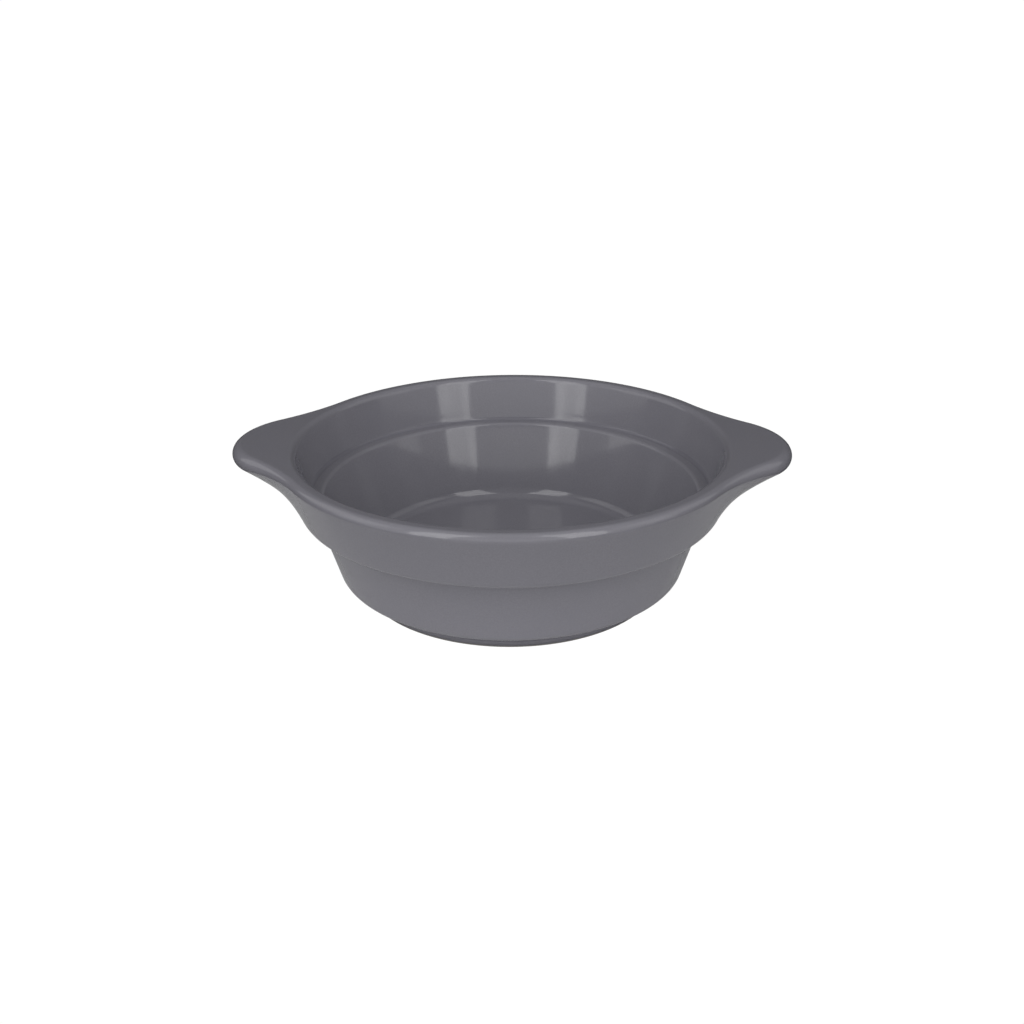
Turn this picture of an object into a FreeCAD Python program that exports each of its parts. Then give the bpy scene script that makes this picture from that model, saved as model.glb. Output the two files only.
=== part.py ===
"""Lugged dip bowl: a round stoneware bowl with a stacking step, a flat foot ring and two
lug handles that grow out of its rim, fired as one clay body under a coat of glaze.

Frame: millimetres, +Z up, origin on the surface that the foot ring stands on, at the bowl's
axis. The two lugs point along +X and -X.
"""
import FreeCAD, Part
import math
import os
from types import SimpleNamespace

import Sketcher
from FreeCAD import Vector

doc = FreeCAD.newDocument("lugged_dip_bowl")

# ---------------------------------------------------------------- driving dimensions
# Radii run from the bowl's axis to the finished, glazed surface.
DIMENSIONS = [
    ("height", 52.0, "foot to the top of the rim and lugs"),
    ("rim_radius", 80.0, "outside of the round rim"),
    ("lug_reach", 97.2, "axis to the tip of a lug"),
    ("lug_tip_radius", 27.8, "rounding of a lug's end, seen from above"),
    ("lug_neck_radius", 84.3, "hollow curve from a lug's end to the rim, seen from above"),
    ("rim_rounding", 2.2, "rounding of the outer edge where the rim is round"),
    ("lug_rounding", 3.6, "rounding of the outer edge at the tip of a lug"),
    ("lip_rounding", 2.4, "rounding of the rim's inner edge"),
    ("lip_radius", 74.3, "inside of the rim at the top"),
    ("step_height", 31.3, "underside of the collar"),
    ("step_radius", 73.5, "outside of the collar at its lower edge"),
    ("step_rounding", 1.8, "rounding of the collar's lower edge"),
    ("collar_flare", 0.38, "how much the collar widens for each millimetre up"),
    ("lug_hollow", 5.1, "height above the step that the hollow under a lug aims from"),
    ("bowl_radius", 68.5, "outside of the bowl just under the collar"),
    ("shoulder_radius", 61.2, "where the bowl turns in to its foot"),
    ("shoulder_height", 7.0, "height of that turn"),
    ("shoulder_rounding", 3.8, "rounding of that turn"),
    ("foot_radius", 53.8, "outside of the foot ring"),
    ("foot_height", 2.6, "height of the foot ring's side wall"),
    ("foot_width", 3.6, "width of the foot ring"),
    ("foot_well", 2.2, "depth of the hollow inside the foot ring"),
    ("foot_rounding", 0.5, "rounding of the foot ring's edges"),
    ("ledge_outer_radius", 70.5, "inside of the collar where it meets the ledge"),
    ("ledge_inner_radius", 65.8, "inner edge of the stacking ledge"),
    ("ledge_height", 35.3, "stacking ledge"),
    ("ledge_rounding", 1.4, "rounding of the ledge's two corners"),
    ("floor_height", 6.6, "inside floor"),
    ("floor_radius", 56.5, "inside wall carried down to the floor"),
    ("floor_rounding", 5.2, "hollow corner between wall and floor"),
    ("glaze", 0.35, "thickness of the glaze"),
    ("bare_height", 0.8, "unglazed height of the foot ring"),
]

sheet = doc.addObject("Spreadsheet::Sheet", "dimensions")
for line, (alias, number, note) in enumerate(DIMENSIONS, start=1):
    sheet.set(f"A{line}", alias)
    sheet.set(f"B{line}", str(number))
    sheet.set(f"C{line}", note)
    sheet.setAlias(f"B{line}", alias)
doc.recompute()

OUTLINE_POINTS = 144  # places round the outline where the collar's section is worked out
SAME = 0.02  # two places closer than this are one
CORNER_RISE = 0.5  # how far a slanting corner rises for each millimetre of glaze taken off it
UP = Vector(0, 0, 1)


class Size:
    """A length worked out from the sheet: its number, and the expression that keeps to it."""

    def __init__(self, number, words):
        self.number = number
        self.words = words

    def __add__(self, other):
        return Size(self.number + other.number, f"({self.words} + {other.words})")

    def __sub__(self, other):
        return Size(self.number - other.number, f"({self.words} - {other.words})")

    def __mul__(self, factor):
        return Size(self.number * factor, f"({self.words} * {factor})")


ZERO = Size(0, "0")
size = SimpleNamespace()
for alias, _, _ in DIMENSIONS:
    setattr(size, alias, Size(float(sheet.get(alias)), f"dimensions.{alias}"))


# ---------------------------------------------------------------- the collar, rim and lugs
def arc_edge(centre_x, centre_y, radius, start, end):
    """The arc from angle start to angle end, clockwise if end is the smaller."""
    circle = Part.Circle(Vector(centre_x, centre_y, 0), UP, radius)
    edge = Part.ArcOfCircle(circle, min(start, end), max(start, end))
    if end < start:
        edge.reverse()
    return edge.toShape()


def quarter_outline(rim, reach, tip, neck):
    """A quarter of the outline from above, from the +X tip to the +Y side of the rim: half the
    lug's end, the hollow neck and a piece of the rim, each tangent to the next."""
    tip_x = reach - tip
    neck_x = ((rim + neck) ** 2 - (tip + neck) ** 2 + tip_x**2) / (2 * tip_x)
    neck_y = math.sqrt((rim + neck) ** 2 - neck_x**2)
    tip_angle = math.atan2(neck_y, neck_x - tip_x)
    rim_angle = math.atan2(neck_y, neck_x)
    return Part.Wire([
        arc_edge(tip_x, 0, tip, 0, tip_angle),
        arc_edge(neck_x, neck_y, neck, tip_angle + math.pi, rim_angle + math.pi),
        arc_edge(0, 0, rim, rim_angle, math.pi / 2),
    ])


def outline_points(rim, reach, tip, neck):
    """Points evenly spaced round the whole outline, anticlockwise from the +X tip."""
    quarter = quarter_outline(rim, reach, tip, neck).discretize(OUTLINE_POINTS // 4 + 1)
    half = quarter + [Vector(-p.x, p.y, 0) for p in reversed(quarter[:-1])]
    return half + [Vector(p.x, -p.y, 0) for p in reversed(half[1:-1])]


def closed_curve(points, parameters=None):
    curve = Part.BSplineCurve()
    if parameters:
        curve.interpolate(Points=points, PeriodicFlag=True, Parameters=parameters)
    else:
        curve.interpolate(Points=points, PeriodicFlag=True)
    return curve


def band(rows, knots):
    """A face all round the bowl. Its cross-sections are Bezier curves, whose control points are
    one from each row."""
    curves = [closed_curve(row, knots) for row in rows]
    poles = [list(column) for column in zip(*(curve.getPoles() for curve in curves))]
    surface = Part.BSplineSurface()
    surface.buildFromPolesMultsKnots(
        poles, curves[0].getMultiplicities(), [len(rows)] * 2, knots, [0, 1],
        True, False, 3, len(rows) - 1,
    )
    return surface.toShape()


def arc_rows(middle, outward, radii, start, end):
    """Four rows for a round edge from angle start to angle end above each outward direction."""
    rows = []
    for c, n, radius, a, b in zip(middle, outward, radii, start, end):
        handle = radius * 4 / 3 * math.tan((b - a) / 4)
        first = c + n * (radius * math.cos(a)) + UP * (radius * math.sin(a))
        last = c + n * (radius * math.cos(b)) + UP * (radius * math.sin(b))
        along_first = UP * math.cos(a) - n * math.sin(a)
        along_last = UP * math.cos(b) - n * math.sin(b)
        rows.append((first, first + along_first * handle, last - along_last * handle, last))
    return [list(row) for row in zip(*rows)]


def collar_solid(coat):
    """The collar, rim and lugs before the inside is cut out, at a depth of coat below the glaze's
    surface. Under a lug, the section leaves the step along the collar's flare and bends out in
    one hollow curve until it is tangent to the rounded edge. The edge's rounding grows with the
    outline's distance from the axis, from the rim's to that of a lug's tip."""
    top = size.height.number - coat
    rim = size.rim_radius.number - coat
    reach = size.lug_reach.number - coat
    step_radius = size.step_radius.number - coat
    step_height = size.step_height.number + coat
    corner = size.step_rounding.number - coat
    flare = size.collar_flare.number
    hollow = size.lug_hollow.number - coat
    points = outline_points(
        rim, reach, size.lug_tip_radius.number - coat, size.lug_neck_radius.number + coat
    )
    outline = closed_curve(points)
    knots = outline.getKnots()
    tangents = [outline.tangent(knot)[0] for knot in knots[:-1]]
    outward = [Vector(t.y, -t.x, 0).normalize() for t in tangents]
    rim_rounding = size.rim_rounding.number - coat
    growth = (size.lug_rounding.number - size.rim_rounding.number) / (reach - rim)
    radii = [rim_rounding + growth * (p.Length - rim) for p in points]
    middle = [p - n * r + UP * (top - r) for p, n, r in zip(points, outward, radii)]
    spokes = [Vector(p.x, p.y, 0).normalize() for p in points]

    def ring(height):
        """A ring on the collar's flared side at a height above the step."""
        return [s * (step_radius + flare * height) + UP * (step_height + height) for s in spokes]

    aim = ring(hollow)
    lower = []
    for c, n, r, a in zip(middle, outward, radii, aim):
        run = (c - a).dot(n)
        rise = (c - a).dot(UP)
        lower.append(math.atan2(rise, run) - math.acos(-r / math.hypot(rise, run)))
    upper = [math.pi / 2] * len(lower)
    waist = [(a + b) / 2 for a, b in zip(lower, upper)]
    under_edge = arc_rows(middle, outward, radii, lower, waist)
    upper_edge = arc_rows(middle, outward, radii, waist, upper)
    underside = [s * (step_radius - corner) + UP * step_height for s in spokes]
    faces = [
        band([underside, ring(0), ring(corner)], knots),
        band([ring(corner), aim, under_edge[0]], knots),
        band(under_edge, knots),
        band(upper_edge, knots),
    ]
    for row in (underside, upper_edge[-1]):
        faces.append(Part.Face(Part.Wire([closed_curve(row, knots).toShape()])))
    shell = Part.makeShell(faces)
    shell.sewShape()
    return Part.makeSolid(shell)


# ---------------------------------------------------------------- sketches and features
def origin_part(body, role):
    return next(f for f in body.Origin.OriginFeatures if f.Role == role)


def section_sketch(body, name, corners):
    """A closed polygon on the XZ plane, one side of the axis. Each corner is a radius and a
    height."""
    sketch = body.newObject("Sketcher::SketchObject", name)
    sketch.AttachmentSupport = (origin_part(body, "XZ_Plane"), [""])
    sketch.MapMode = "FlatFace"
    places = [Vector(radius.number, height.number, 0) for radius, height in corners]
    for start, end in zip(places, places[1:] + places[:1]):
        sketch.addGeometry(Part.LineSegment(start, end), False)
    for side in range(len(corners)):
        following = (side + 1) % len(corners)
        sketch.addConstraint(Sketcher.Constraint("Coincident", side, 2, following, 1))
    for side, corner in enumerate(corners):
        for kind, axis, length in zip(("DistanceX", "DistanceY"), (-2, -1), corner):
            if length is ZERO:
                sketch.addConstraint(Sketcher.Constraint("PointOnObject", side, 1, axis))
                continue
            index = sketch.addConstraint(
                Sketcher.Constraint(kind, -1, 1, side, 1, length.number)
            )
            sketch.setExpression(f"Constraints[{index}]", length.words)
    return sketch


def turn(body, kind, name, corners):
    """A section turned about the bowl's axis: a Revolution adds it, a Groove cuts it away."""
    feature = body.newObject(f"PartDesign::{kind}", name)
    feature.Profile = section_sketch(body, f"{name}_section", corners)
    feature.ReferenceAxis = (origin_part(body, "Z_Axis"), [""])
    feature.Angle = 360
    doc.recompute()
    return feature


def round_ring(body, name, rounding, radius, height):
    """Rounds the circular edge at a radius and a height."""
    base = body.Tip
    rings = []
    for index, edge in enumerate(base.Shape.Edges, start=1):
        start, end = edge.ParameterRange
        middle = edge.valueAt((start + end) / 2)
        off_radius = abs(math.hypot(middle.x, middle.y) - radius.number)
        off_height = abs(middle.z - height.number)
        if edge.isClosed() and off_radius < SAME and off_height < SAME:
            rings.append(f"Edge{index}")
    if len(rings) != 1:
        raise ValueError(f"{name}: {len(rings)} edges at that radius and height")
    feature = body.newObject("PartDesign::Fillet", name)
    feature.Base = (base, rings)
    feature.setExpression("Radius", rounding.words)
    doc.recompute()
    return feature


def bowl(name, coat, base_height, well_side, well_top):
    """The whole bowl at a depth of coat below the glaze's surface. base_height is its lowest
    point, and well_side and well_top are the hollow inside the foot ring."""
    blank = doc.addObject("Part::Feature", f"{name}_collar")
    blank.Shape = collar_solid(coat.number)
    body = doc.addObject("PartDesign::Body", name)
    body.BaseFeature = blank
    doc.recompute()

    shoulder = (size.shoulder_radius - coat, size.shoulder_height + coat * CORNER_RISE)
    wall = size.bowl_radius - coat
    foot_side = size.foot_radius - coat
    turn(body, "Revolution", "lower_bowl", [
        (ZERO, base_height),
        (foot_side, base_height),
        (foot_side, size.foot_height + coat * CORNER_RISE),
        shoulder,
        (wall, size.step_height + coat),
        (wall, size.ledge_height),
        (ZERO, size.ledge_height),
    ])
    turn(body, "Groove", "foot_hollow", [
        (ZERO, base_height),
        (well_side, base_height),
        (well_side, well_top),
        (ZERO, well_top),
    ])
    floor = size.floor_height - coat
    floor_side = size.floor_radius + coat
    ledge = size.ledge_height - coat
    ledge_inner = size.ledge_inner_radius + coat
    ledge_outer = size.ledge_outer_radius + coat
    lip = size.lip_radius + coat
    top = size.height - coat
    turn(body, "Groove", "inside", [
        (ZERO, floor),
        (floor_side, floor),
        (ledge_inner, ledge),
        (ledge_outer, ledge),
        (lip, top),
        (ZERO, top),
    ])
    round_ring(body, "floor_corner", size.floor_rounding + coat, floor_side, floor)
    round_ring(body, "ledge_edge", size.ledge_rounding - coat, ledge_inner, ledge)
    round_ring(body, "ledge_corner", size.ledge_rounding + coat, ledge_outer, ledge)
    round_ring(body, "lip_edge", size.lip_rounding - coat, lip, top)
    round_ring(body, "shoulder", size.shoulder_rounding - coat, *shoulder)
    return body


# ---------------------------------------------------------------- sub-parts
def clay_body():
    """The fired clay: bowl, collar, both lugs and foot ring, cast in one."""
    well_side = size.foot_radius - size.foot_width + size.glaze
    body = bowl("clay_body", size.glaze, ZERO, well_side, size.foot_well + size.glaze)
    foot_side = size.foot_radius - size.glaze
    round_ring(body, "foot_outer_edge", size.foot_rounding, foot_side, ZERO)
    round_ring(body, "foot_inner_edge", size.foot_rounding, well_side, ZERO)
    return body


def glaze_coat(clay):
    """The glaze over everything but the foot ring's tread and the hollow inside it. The glazed
    shape's own foot hollow reaches into the clay, so that it leaves no glaze there."""
    well_side = size.foot_radius - size.foot_width * 0.5
    well_top = size.foot_well + size.glaze * 2
    glazed = bowl("glazed_shape", ZERO, size.bare_height, well_side, well_top)
    coat = doc.addObject("Part::Cut", "glaze_coat")
    coat.Base = glazed
    coat.Tool = clay
    doc.recompute()
    return coat


def foot_well_glaze():
    """The glaze in the hollow inside the foot ring: a shallow cap with a short skirt."""
    body = doc.addObject("PartDesign::Body", "foot_well_glaze")
    inner = size.foot_radius - size.foot_width
    outer = inner + size.glaze
    cap_top = size.foot_well + size.glaze
    turn(body, "Revolution", "cap", [
        (ZERO, size.foot_well),
        (inner, size.foot_well),
        (inner, size.bare_height),
        (outer, size.bare_height),
        (outer, cap_top),
        (ZERO, cap_top),
    ])
    return body


clay = clay_body()
SUB_PARTS = [clay, glaze_coat(clay), foot_well_glaze()]
doc.recompute()

# ---------------------------------------------------------------- checks and files
for thing in doc.Objects:
    if "Invalid" in thing.State or "Error" in thing.State:
        raise RuntimeError(f"{thing.Label} failed: {thing.State}")
for part in SUB_PARTS:
    part.Label = part.Name
    if part.Shape.isNull() or not part.Shape.isValid() or len(part.Shape.Solids) != 1:
        raise RuntimeError(f"{part.Label} isn't one valid solid")
    print(part.Label, "volume", round(part.Shape.Volume), "mm3")

os.makedirs("parts", exist_ok=True)
for part in SUB_PARTS:
    part.Shape.exportStep(f"parts/{part.Label}.step")
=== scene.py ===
"""Looks of the lugged dip bowl: its glaze as a modelled shell, the bare clay of the foot ring,
a pale floor, soft studio light and the camera.

Metres, in the part's own frame: +Z up, lugs along +X and -X, foot on the floor at zero height.
"""

import math

import bpy
from mathutils import Matrix, Vector, noise


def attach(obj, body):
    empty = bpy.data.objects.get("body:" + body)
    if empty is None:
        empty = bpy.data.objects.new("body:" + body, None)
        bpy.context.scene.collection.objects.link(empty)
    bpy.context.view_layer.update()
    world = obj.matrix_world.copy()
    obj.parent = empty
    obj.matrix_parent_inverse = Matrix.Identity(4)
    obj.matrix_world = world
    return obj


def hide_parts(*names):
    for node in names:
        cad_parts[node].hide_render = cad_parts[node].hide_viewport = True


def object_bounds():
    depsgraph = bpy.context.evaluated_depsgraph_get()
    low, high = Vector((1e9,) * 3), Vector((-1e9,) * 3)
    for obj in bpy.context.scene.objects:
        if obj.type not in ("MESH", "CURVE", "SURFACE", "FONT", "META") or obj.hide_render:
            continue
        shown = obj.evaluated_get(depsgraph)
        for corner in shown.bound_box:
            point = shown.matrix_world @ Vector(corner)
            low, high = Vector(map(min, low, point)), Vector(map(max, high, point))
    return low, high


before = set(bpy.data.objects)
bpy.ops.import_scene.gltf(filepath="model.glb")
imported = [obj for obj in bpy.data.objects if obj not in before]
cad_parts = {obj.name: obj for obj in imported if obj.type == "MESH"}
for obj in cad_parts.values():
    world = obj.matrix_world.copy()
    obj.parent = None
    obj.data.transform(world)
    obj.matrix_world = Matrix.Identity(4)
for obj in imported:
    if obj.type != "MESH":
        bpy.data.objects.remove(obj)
cad_low, cad_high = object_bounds()

MM = 0.001

# ------------------------------------------------------------------ the bowl's dimensions
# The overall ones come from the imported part; the rest repeat the part's own sheet.
HEIGHT = cad_high.z
RIM_RADIUS = cad_high.y
LUG_REACH = cad_high.x
LUG_TIP_RADIUS = 27.8 * MM
LUG_NECK_RADIUS = 84.3 * MM
RIM_ROUNDING = 2.2 * MM
LUG_ROUNDING = 3.6 * MM
LIP_ROUNDING = 2.4 * MM
LIP_RADIUS = 74.3 * MM
STEP_HEIGHT = 31.3 * MM
STEP_RADIUS = 73.5 * MM
STEP_ROUNDING = 1.8 * MM
STEP_INNER_ROUNDING = 1.2 * MM
COLLAR_FLARE = 0.38
LUG_HOLLOW = 5.1 * MM
BOWL_RADIUS = 68.5 * MM
SHOULDER_RADIUS = 61.2 * MM
SHOULDER_HEIGHT = 7.0 * MM
SHOULDER_ROUNDING = 3.8 * MM
FOOT_RADIUS = 53.8 * MM
FOOT_HEIGHT = 2.6 * MM
FOOT_ROUNDING = 0.8 * MM
LEDGE_OUTER_RADIUS = 70.5 * MM
LEDGE_INNER_RADIUS = 65.8 * MM
LEDGE_HEIGHT = 35.3 * MM
LEDGE_ROUNDING = 1.4 * MM
FLOOR_HEIGHT = 6.6 * MM
FLOOR_RADIUS = 56.5 * MM
FLOOR_ROUNDING = 5.2 * MM
GLAZE = 0.35 * MM
BARE_HEIGHT = 0.8 * MM

SPOKES = 480  # places round the bowl, a multiple of four
SECTION_STEP = 1.5 * MM  # spacing along a section's straight stretches
ARC_STEP = math.radians(6)  # and round its corners
WAVE_DEPTH = 0.05 * MM
WAVE_LENGTH = 32 * MM
POOL_RADIUS = 1.6 * MM  # a hollow this tight is full of glaze
UP = Vector((0, 0, 1))


# ------------------------------------------------------------------ outlines and sections
def outline(rim, reach, tip, neck):
    """Points evenly spaced round the outline from above, anticlockwise from the +X tip, each
    with its outward normal. A quarter is half the lug's end, a hollow neck and part of the rim."""
    tip_x = reach - tip
    neck_x = ((rim + neck) ** 2 - (tip + neck) ** 2 + tip_x**2) / (2 * tip_x)
    neck_y = math.sqrt((rim + neck) ** 2 - neck_x**2)
    rim_angle = math.atan2(neck_y, neck_x)
    tip_angle = math.atan2(neck_y, neck_x - tip_x)
    end_length = tip * tip_angle
    neck_length = neck * (tip_angle - rim_angle)
    whole = end_length + neck_length + rim * (math.pi / 2 - rim_angle)
    quarter = []
    for index in range(SPOKES // 4 + 1):
        along = whole * index / (SPOKES // 4)
        if along <= end_length:
            centre, radius, angle = Vector((tip_x, 0)), tip, along / tip
        elif along <= end_length + neck_length:
            centre, radius = Vector((neck_x, neck_y)), -neck
            angle = tip_angle - (along - end_length) / neck
        else:
            centre, radius = Vector((0, 0)), rim
            angle = rim_angle + (along - end_length - neck_length) / rim
        normal = Vector((math.cos(angle), math.sin(angle)))
        quarter.append((centre + normal * radius, normal))

    def mirrored(pairs, x, y):
        return [(Vector((p.x * x, p.y * y)), Vector((n.x * x, n.y * y))) for p, n in pairs]

    half = quarter + mirrored(quarter[-2::-1], -1, 1)
    return half + mirrored(half[-2:0:-1], 1, -1)


def rounded(corners):
    """A section line through corners (radius, height, rounding), with round corners."""
    line = [Vector(corners[0][:2])]
    for before, corner, after in zip(corners, corners[1:], corners[2:]):
        here = Vector(corner[:2])
        back = (Vector(before[:2]) - here).normalized()
        ahead = (Vector(after[:2]) - here).normalized()
        half = back.angle(ahead) / 2
        rounding = corner[2]
        middle = here + (back + ahead).normalized() * (rounding / math.sin(half))
        start = here + back * (rounding / math.tan(half)) - middle
        turn = math.pi - 2 * half
        if start.x * ahead.y - start.y * ahead.x < 0:
            turn = -turn
        pieces = math.ceil(abs(turn) / ARC_STEP)
        for index in range(pieces + 1):
            angle = turn * index / pieces
            cosine, sine = math.cos(angle), math.sin(angle)
            turned = (start.x * cosine - start.y * sine, start.x * sine + start.y * cosine)
            line.append(middle + Vector(turned))
    line.append(Vector(corners[-1][:2]))
    dense = [line[0]]
    for start, end in zip(line, line[1:]):
        pieces = max(1, round((end - start).length / SECTION_STEP))
        dense += [start.lerp(end, index / pieces) for index in range(1, pieces + 1)]
    return dense


def skin_rows(coat):
    """The bowl's surface at a depth below the glaze's own, as rings of points: up the outside
    from the foot's bare edge, over the rim and lugs, and down the inside to the floor."""
    pairs = outline(
        RIM_RADIUS - coat, LUG_REACH - coat, LUG_TIP_RADIUS - coat, LUG_NECK_RADIUS + coat
    )
    spokes = [p.normalized() for p, _ in pairs]

    def ring(radius, height):
        return [Vector((s.x * radius, s.y * radius, height)) for s in spokes]

    outside = rounded([
        (FOOT_RADIUS - coat, BARE_HEIGHT, 0),
        (FOOT_RADIUS - coat, FOOT_HEIGHT + coat / 2, FOOT_ROUNDING),
        (SHOULDER_RADIUS - coat, SHOULDER_HEIGHT + coat / 2, SHOULDER_ROUNDING - coat),
        (BOWL_RADIUS - coat, STEP_HEIGHT + coat, STEP_INNER_ROUNDING + coat),
        (STEP_RADIUS - STEP_ROUNDING, STEP_HEIGHT + coat, 0),
    ])
    rows = [ring(p.x, p.y) for p in outside]

    # the collar's lower edge
    step_radius = STEP_RADIUS - coat
    corner = STEP_ROUNDING - coat
    start = Vector((step_radius - corner, STEP_HEIGHT + coat))
    middle = Vector((step_radius, STEP_HEIGHT + coat))
    end = middle + Vector((COLLAR_FLARE, 1)) * corner
    for index in range(1, 7):
        t = index / 6
        p = start * (1 - t) ** 2 + middle * 2 * t * (1 - t) + end * t**2
        rows.append(ring(p.x, p.y))

    # the flared side, which bends out under a lug until it is tangent to the rounded edge
    top = HEIGHT - coat
    growth = (LUG_ROUNDING - RIM_ROUNDING) / (LUG_REACH - RIM_RADIUS)
    roundings = [
        RIM_ROUNDING - coat + growth * (p.length - (RIM_RADIUS - coat)) for p, _ in pairs
    ]
    hollow = LUG_HOLLOW - coat
    first = ring(end.x, end.y)
    aim = ring(step_radius + COLLAR_FLARE * hollow, STEP_HEIGHT + coat + hollow)
    hubs = [(p - n * r).to_3d() + UP * (top - r) for (p, n), r in zip(pairs, roundings)]
    normals = [n.to_3d() for _, n in pairs]
    lowest = []
    for hub, normal, r, a in zip(hubs, normals, roundings, aim):
        run = (hub - a).dot(normal)
        rise = (hub - a).z
        lowest.append(math.atan2(rise, run) - math.acos(-r / math.hypot(rise, run)))

    def edge_ring(share):
        """A ring on the rounded edge, from its lowest line at share 0 to its top at share 1."""
        angles = [low + (math.pi / 2 - low) * share for low in lowest]
        return [
            hub + normal * (r * math.cos(a)) + UP * (r * math.sin(a))
            for hub, normal, r, a in zip(hubs, normals, roundings, angles)
        ]

    last = edge_ring(0)
    for index in range(1, 25):
        t = index / 24
        rows.append([
            a * (1 - t) ** 2 + b * 2 * t * (1 - t) + c * t**2
            for a, b, c in zip(first, aim, last)
        ])
    rows += [edge_ring(index / 20) for index in range(1, 21)]

    # the flat top of the lugs, narrowing to nothing along the rim, and the inside
    inner = rounded([
        (LIP_RADIUS + LIP_ROUNDING, top, 0),
        (LIP_RADIUS + coat, top, LIP_ROUNDING - coat),
        (LEDGE_OUTER_RADIUS + coat, LEDGE_HEIGHT - coat, LEDGE_ROUNDING + coat),
        (LEDGE_INNER_RADIUS + coat, LEDGE_HEIGHT - coat, LEDGE_ROUNDING - coat),
        (FLOOR_RADIUS + coat, FLOOR_HEIGHT - coat, FLOOR_ROUNDING + coat),
        (1.5 * MM, FLOOR_HEIGHT - coat, 0),
    ])
    outer_top = rows[-1]
    inner_top = ring(inner[0].x, inner[0].y)
    for index in range(1, 8):
        rows.append([a.lerp(b, index / 8) for a, b in zip(outer_top, inner_top)])
    rows += [ring(p.x, p.y) for p in inner]
    return rows


# ------------------------------------------------------------------ the glaze as a mesh
def glaze_shell():
    """A closed shell: the glaze's surface, its underside against the clay, and the narrow edge
    between them above the bare foot ring."""
    surface = skin_rows(0)
    underside = skin_rows(GLAZE)
    rings = underside[::-1] + surface
    points = [point for ring in rings for point in ring]
    faces = []
    for row in range(len(rings) - 1):
        for spoke in range(SPOKES):
            following = (spoke + 1) % SPOKES
            a, b = row * SPOKES + spoke, row * SPOKES + following
            faces.append((a, b, b + SPOKES, a + SPOKES))
    for row, z in ((0, FLOOR_HEIGHT - GLAZE), (len(rings) - 1, FLOOR_HEIGHT)):
        centre = len(points)
        points.append(Vector((0, 0, z)))
        for spoke in range(SPOKES):
            a = row * SPOKES + spoke
            b = row * SPOKES + (spoke + 1) % SPOKES
            faces.append((b, a, centre) if row == 0 else (a, b, centre))
    mesh = bpy.data.meshes.new("glaze_shell")
    mesh.from_pydata(points, [], faces)
    mesh.validate()
    finish_surface(mesh, len(underside), len(surface))
    mesh.shade_smooth()
    shell = bpy.data.objects.new("glaze_shell", mesh)
    bpy.context.scene.collection.objects.link(shell)
    return shell


def finish_surface(mesh, first_row, rows):
    """Lets the glaze's surface wave a little, as poured glaze does, always inwards, and writes
    where it pools, 1, or thins, -1, to the attribute pool."""
    start = first_row * SPOKES
    count = rows * SPOKES
    flat = [vertex.co.copy() for vertex in mesh.vertices]
    normals = [vertex.normal.copy() for vertex in mesh.vertices]
    pool = [0.0] * len(flat)
    for index in range(start, start + count):
        here, normal = flat[index], normals[index]
        sag = WAVE_DEPTH * (0.5 + 0.5 * noise.noise(here / WAVE_LENGTH))
        mesh.vertices[index].co = here - normal * sag
        if start + SPOKES <= index < start + count - SPOKES:
            before, after = flat[index - SPOKES], flat[index + SPOKES]
            length = ((after - here).length + (here - before).length) / 2
            hollow = ((after - here).normalized() - (here - before).normalized()).dot(normal)
            pool[index] = max(-1.0, min(1.0, hollow / length * POOL_RADIUS))
    values = mesh.attributes.new("pool", "FLOAT", "POINT")
    values.data.foreach_set("value", pool)


# ------------------------------------------------------------------ materials
GLAZE_DARK = (0.18, 0.176, 0.2)
GLAZE_PALE = (0.204, 0.2, 0.225)
GLAZE_CLOUD = (0.186, 0.184, 0.21)
GLAZE_POOLED = (0.154, 0.151, 0.176)
GLAZE_THIN = (0.21, 0.206, 0.23)
CLAY_DARK = (0.15, 0.142, 0.135)
CLAY_PALE = (0.24, 0.228, 0.212)
CLAY_SPECK = (0.07, 0.06, 0.055)


def shader(name):
    """A new node material, its tree and its Principled shader."""
    material = bpy.data.materials.new(name)
    material.use_nodes = True
    tree = material.node_tree
    return material, tree, tree.nodes["Principled BSDF"]


def coordinates(tree):
    """Places on the surface in metres, the same for every piece."""
    return tree.nodes.new("ShaderNodeTexCoord").outputs["Object"]


def grain(tree, places, size, detail, low, high):
    """Noise with features of about a size in metres, stretched to run from low to high."""
    texture = tree.nodes.new("ShaderNodeTexNoise")
    texture.inputs["Scale"].default_value = 1 / size
    texture.inputs["Detail"].default_value = detail
    tree.links.new(places, texture.inputs["Vector"])
    return stretched(tree, texture.outputs["Fac"], 0.3, 0.7, low, high)


def stretched(tree, source, from_low, from_high, low, high):
    ramp = tree.nodes.new("ShaderNodeMapRange")
    for name, number in (("From Min", from_low), ("From Max", from_high),
                         ("To Min", low), ("To Max", high)):
        ramp.inputs[name].default_value = number
    tree.links.new(source, ramp.inputs["Value"])
    return ramp.outputs["Result"]


def mixed(tree, amount, first, second):
    """A colour between two; each of them is a colour or another node's output."""
    mix = tree.nodes.new("ShaderNodeMix")
    mix.data_type = "RGBA"
    tree.links.new(amount, mix.inputs["Factor"])
    colours = [socket for socket in mix.inputs if socket.type == "RGBA"]
    for socket, colour in zip(colours, (first, second)):
        if isinstance(colour, tuple):
            socket.default_value = (*colour, 1)
        else:
            tree.links.new(colour, socket)
    return next(socket for socket in mix.outputs if socket.type == "RGBA")


def bumped(tree, surface, height, depth):
    bump = tree.nodes.new("ShaderNodeBump")
    bump.inputs["Strength"].default_value = 1.0
    bump.inputs["Distance"].default_value = depth
    tree.links.new(height, bump.inputs["Height"])
    tree.links.new(bump.outputs["Normal"], surface.inputs["Normal"])


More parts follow.
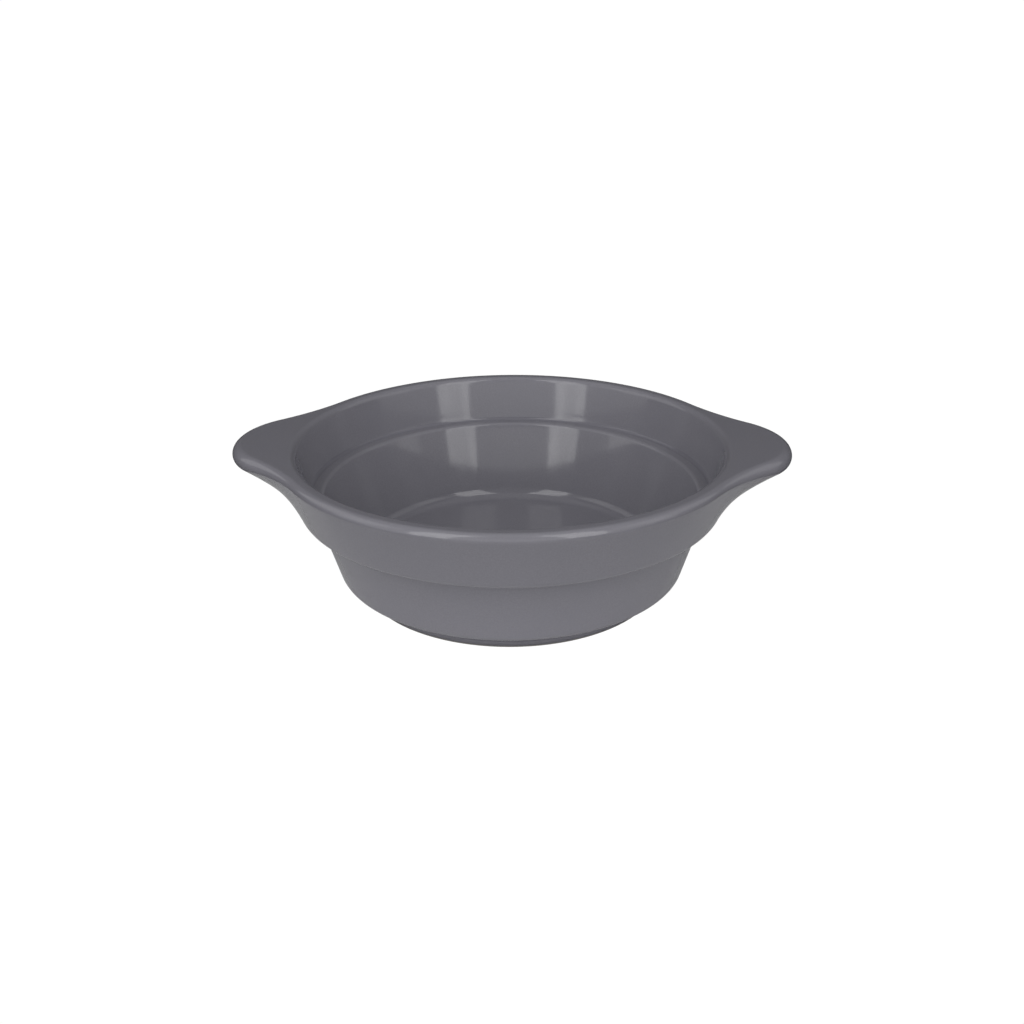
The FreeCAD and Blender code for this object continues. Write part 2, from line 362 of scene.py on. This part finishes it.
def glaze_material():
    """Grey satin glaze: a fine grain, soft clouds, darker where it pools and paler where it is
    drawn thin over an edge."""
    material, tree, surface = shader("grey_glaze")
    places = coordinates(tree)
    fine = grain(tree, places, 0.5 * MM, 2, 0, 1)
    clouds = grain(tree, places, 16 * MM, 3, 0, 0.5)
    colour = mixed(tree, fine, GLAZE_DARK, GLAZE_PALE)
    colour = mixed(tree, clouds, colour, GLAZE_CLOUD)
    pool = tree.nodes.new("ShaderNodeAttribute")
    pool.attribute_name = "pool"
    thick = stretched(tree, pool.outputs["Fac"], 0, 1, 0, 0.8)
    thin = stretched(tree, pool.outputs["Fac"], 0, -1, 0, 0.5)
    colour = mixed(tree, thick, colour, GLAZE_POOLED)
    colour = mixed(tree, thin, colour, GLAZE_THIN)
    tree.links.new(colour, surface.inputs["Base Color"])
    roughness = grain(tree, places, 3 * MM, 3, 0.08, 0.12)
    tree.links.new(roughness, surface.inputs["Roughness"])
    surface.inputs["IOR"].default_value = 1.45
    bumped(tree, surface, grain(tree, places, 1.1 * MM, 2, 0, 1), 0.002 * MM)
    return material


def clay_material():
    """Bare fired clay: matt, with coarse grains and dark specks."""
    material, tree, surface = shader("bare_clay")
    places = coordinates(tree)
    colour = mixed(tree, grain(tree, places, 0.35 * MM, 3, 0, 1), CLAY_DARK, CLAY_PALE)
    specks = tree.nodes.new("ShaderNodeTexVoronoi")
    specks.inputs["Scale"].default_value = 1 / (1.4 * MM)
    tree.links.new(places, specks.inputs["Vector"])
    speck = stretched(tree, specks.outputs["Distance"], 0.16, 0.1, 0, 1)
    colour = mixed(tree, speck, colour, CLAY_SPECK)
    tree.links.new(colour, surface.inputs["Base Color"])
    roughness = grain(tree, places, 0.6 * MM, 2, 0.74, 0.9)
    tree.links.new(roughness, surface.inputs["Roughness"])
    bumped(tree, surface, grain(tree, places, 0.3 * MM, 4, 0, 1), 0.03 * MM)
    return material


def paint(piece, material):
    piece.data.materials.clear()
    piece.data.materials.append(material)


# ------------------------------------------------------------------ pieces
glaze = glaze_material()
shell = glaze_shell()
paint(shell, glaze)
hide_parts("glaze_coat")
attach(shell, "root")
paint(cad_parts["foot_well_glaze"], glaze)
paint(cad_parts["clay_body"], clay_material())


# ------------------------------------------------------------------ floor, light and camera
PAPER_RADIUS = 3.0
PAPER_CURVE = 3.0
TABLE_RADIUS = 0.13
ROOM_GLOW = 0.03

# name, azimuth, elevation, distance, width, height, brightness
SOFTBOXES = (
    ("right_strip", 36, 31, 1.6, 0.55, 2.2, 2.8),
    ("left_strip", -34, 31, 1.6, 0.55, 2.2, 3.0),
    ("overhead", 0, 90, 2.0, 2.2, 2.2, 0.35),
    ("front", 0, 35, 2.4, 2.8, 1.4, 0.25),
    ("front_low", 0, 5, 2.4, 2.8, 1.2, 0.9),
    ("front_left", -62, 30, 2.2, 1.5, 1.5, 0.4),
    ("front_right", 62, 30, 2.2, 1.5, 1.5, 0.4),
    ("left_side", -90, 30, 2.2, 2.0, 1.6, 0.85),
    ("right_side", 90, 30, 2.2, 2.0, 1.6, 0.6),
    ("low_left", -60, 2, 2.2, 1.8, 0.8, 0.6),
    ("low_right", 60, 2, 2.2, 1.8, 0.8, 0.5),
    ("below", 0, -35, 1.6, 2.0, 0.8, 0.3),
)


def revolve(name, section, spokes):
    """A surface turned about the bowl's axis from a list of (radius, height)."""
    points = []
    for radius, height in section:
        for spoke in range(spokes):
            angle = math.tau * spoke / spokes
            points.append((radius * math.cos(angle), radius * math.sin(angle), height))
    faces = []
    for row in range(len(section) - 1):
        for spoke in range(spokes):
            a, b = row * spokes + spoke, row * spokes + (spoke + 1) % spokes
            faces.append((a, b, b + spokes, a + spokes))
    mesh = bpy.data.meshes.new(name)
    mesh.from_pydata(points, [], faces)
    mesh.shade_smooth()
    thing = bpy.data.objects.new(name, mesh)
    bpy.context.scene.collection.objects.link(thing)
    return thing


def backdrop():
    """White paper that curves up into a wall all round, which only the camera sees."""
    section = [(0.0, 0.0)]
    for index in range(13):
        angle = math.pi / 2 * index / 12
        section.append((PAPER_RADIUS + PAPER_CURVE * math.sin(angle),
                        PAPER_CURVE * (1 - math.cos(angle))))
    paper = revolve("floor", section, 96)
    material, tree, surface = shader("pale_floor")
    surface.inputs["Base Color"].default_value = (0.0, 0.0, 0.0, 1)
    surface.inputs["Specular IOR Level"].default_value = 0.0
    surface.inputs["Emission Color"].default_value = (1, 1, 1, 1)
    surface.inputs["Emission Strength"].default_value = 1.02
    paint(paper, material)
    paper.visible_diffuse = paper.visible_glossy = paper.visible_shadow = False


def table():
    """The small white table under the bowl, which lights it from below."""
    top = revolve("table", [(0.0, 0.0), (TABLE_RADIUS, 0.0)], 96)
    material, tree, surface = shader("table_white")
    surface.inputs["Base Color"].default_value = (0.8, 0.8, 0.8, 1)
    surface.inputs["Roughness"].default_value = 0.9
    surface.inputs["Specular IOR Level"].default_value = 0.0
    paint(top, material)
    top.visible_camera = False


def softbox(name, azimuth, elevation, distance, width, height, brightness):
    """A soft area light that faces the bowl. Azimuth 0 is in front of it, on the -Y side, and
    turns towards +X; angles in degrees."""
    light = bpy.data.lights.new(name, "AREA")
    light.shape = "RECTANGLE"
    light.size, light.size_y = width, height
    light.energy = brightness * math.pi * width * height
    lamp = bpy.data.objects.new(name, light)
    a, e = math.radians(azimuth), math.radians(elevation)
    away = Vector((math.sin(a) * math.cos(e), -math.cos(a) * math.cos(e), math.sin(e)))
    lamp.location = away * distance
    lamp.rotation_mode = "QUATERNION"
    lamp.rotation_quaternion = away.to_track_quat("Z", "Y")
    bpy.context.scene.collection.objects.link(lamp)


def camera():
    """Placed by the angles, distance and lens that the bowl's outline asks for."""
    data = bpy.data.cameras.new("camera")
    data.sensor_width = 36
    data.lens = 40.1
    data.shift_x, data.shift_y = 0.00125, -0.0088
    azimuth, elevation, roll = math.radians(2.39), math.radians(23.11), math.radians(-0.43)
    away = Vector((math.sin(azimuth) * math.cos(elevation),
                   -math.cos(azimuth) * math.cos(elevation),
                   math.sin(elevation)))
    view = bpy.data.objects.new("camera", data)
    place = Matrix.Translation(Vector((0, 0, 0.028)) + away * 0.4068)
    turn = away.to_track_quat("Z", "Y").to_matrix().to_4x4()
    view.matrix_world = place @ turn @ Matrix.Rotation(roll, 4, "Z")
    bpy.context.scene.collection.objects.link(view)
    bpy.context.scene.camera = view


backdrop()
table()
for lamp in SOFTBOXES:
    softbox(*lamp)
camera()

scene = bpy.context.scene
scene.view_settings.view_transform = "Standard"
scene.world = bpy.data.worlds.new("studio")
scene.world.use_nodes = True
scene.world.node_tree.nodes["Background"].inputs["Color"].default_value = (1, 1, 1, 1)
scene.world.node_tree.nodes["Background"].inputs["Strength"].default_value = ROOM_GLOW
